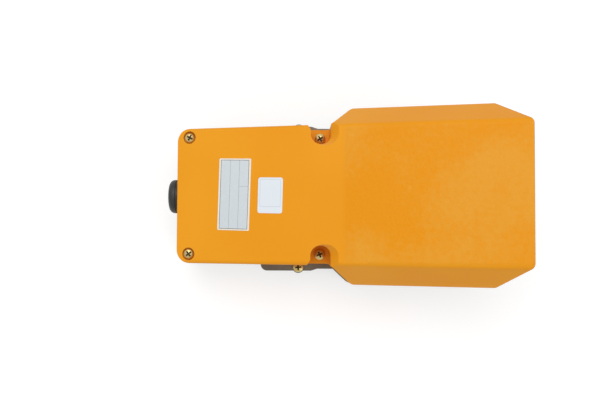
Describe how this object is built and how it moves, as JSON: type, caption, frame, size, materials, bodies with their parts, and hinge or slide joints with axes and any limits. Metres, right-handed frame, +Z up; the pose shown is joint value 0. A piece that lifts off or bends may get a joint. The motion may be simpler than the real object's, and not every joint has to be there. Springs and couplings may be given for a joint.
{
  "type": "industrial foot switch",
  "caption": "Heavy-duty foot switch with a sloping cast hood over a hinged, ribbed pedal, a cast base tray, a cable gland at the rear and a snap-action switch inside.",
  "frame": {"origin": "on the floor under the middle of the whole object, with the feet at z = 0", "axes": "+Y runs to the cable gland at the rear and the hood's mouth faces -Y, +X is across, +Z is up"},
  "size_m": [0.133, 0.2536, 0.1218],
  "materials": {
    "cover_paint": "orange textured powder coat on cast aluminium",
    "base_paint": "grey enamel on cast aluminium",
    "pedal_paint": "grey enamel on cast aluminium",
    "rubber": "moulded black rubber",
    "gland_plastic": "moulded black polyamide",
    "yellow_zinc": "yellow passivated zinc on steel",
    "bright_steel": "bright zinc plated or stainless steel",
    "spring_steel": "spring steel wire",
    "bronze": "sintered bronze",
    "nylon": "natural nylon",
    "switch_plastic": "dark brown phenolic moulding",
    "switch_lid": "black phenolic moulding",
    "plunger_plastic": "red moulded plastic",
    "contact_brass": "brass strip with silver contact"
  },
  "bodies": {
    "base": {"base_casting": "base_paint", "cover_casting": "cover_paint", "cover_gasket": "rubber", "cover_screws": "yellow_zinc", "rubber_feet": "rubber", "feet_screws": "bright_steel", "hinge_shaft": "bright_steel", "shaft_lock_screws": "yellow_zinc", "thrust_washers": "nylon", "tail_stop": "rubber", "front_stops": "rubber", "return_spring": "spring_steel", "gland_body": "gland_plastic", "gland_cap": "gland_plastic", "gland_seal": "rubber", "gland_washer": "rubber", "gland_locknut": "gland_plastic", "switch_bracket": "bright_steel", "bracket_screws": "bright_steel", "switch_case": "switch_plastic", "switch_side_plate": "switch_lid", "switch_screws": "bright_steel", "switch_nuts": "bright_steel", "lever_pin": "bright_steel", "common_terminal": "contact_brass", "open_terminal": "contact_brass", "closed_terminal": "contact_brass", "terminal_screws": "yellow_zinc", "earth_screw": "yellow_zinc", "earth_washer": "contact_brass"},
    "pedal": {"pedal_casting": "pedal_paint", "pedal_bushes": "bronze", "pedal_tread": "rubber", "tread_screws": "bright_steel", "adjuster_screw": "bright_steel", "adjuster_nut": "bright_steel"},
    "lever": {"switch_lever": "bright_steel"},
    "plunger": {"switch_plunger": "plunger_plastic"},
    "blade": {"contact_blade": "contact_brass"}
  },
  "joints": [
    {"name": "pedal_hinge", "type": "hinge", "parent": "base", "child": "pedal", "pos_m": [0, 0.02875, 0.014], "axis": [1, 0, 0], "range_deg": [0, 8], "stiffness_Nm_per_rad": 8, "springref_deg": -17.19, "deforming": ["return_spring"]},
    {"name": "switch_lever_hinge", "type": "hinge", "parent": "base", "child": "lever", "pos_m": [0, 0.08775, 0.0305], "axis": [1, 0, 0], "range_deg": [-6.2, 0]},
    {"name": "switch_plunger_slide", "type": "slide", "parent": "base", "child": "plunger", "axis": [0, 0, 1], "range_m": [0, 0.0012]},
    {"name": "contact_blade_hinge", "type": "hinge", "parent": "base", "child": "blade", "pos_m": [0, 0.04475, 0.042], "axis": [1, 0, 0], "range_deg": [0, 2.2]}
  ],
  "couplings": [
    {"joint": "switch_lever_hinge", "follows": "pedal_hinge", "ratio": -0.77},
    {"joint": "switch_plunger_slide", "follows": "pedal_hinge", "m_per_rad": 0.00849},
    {"joint": "contact_blade_hinge", "follows": "pedal_hinge", "ratio": 0.2653}
  ]
}
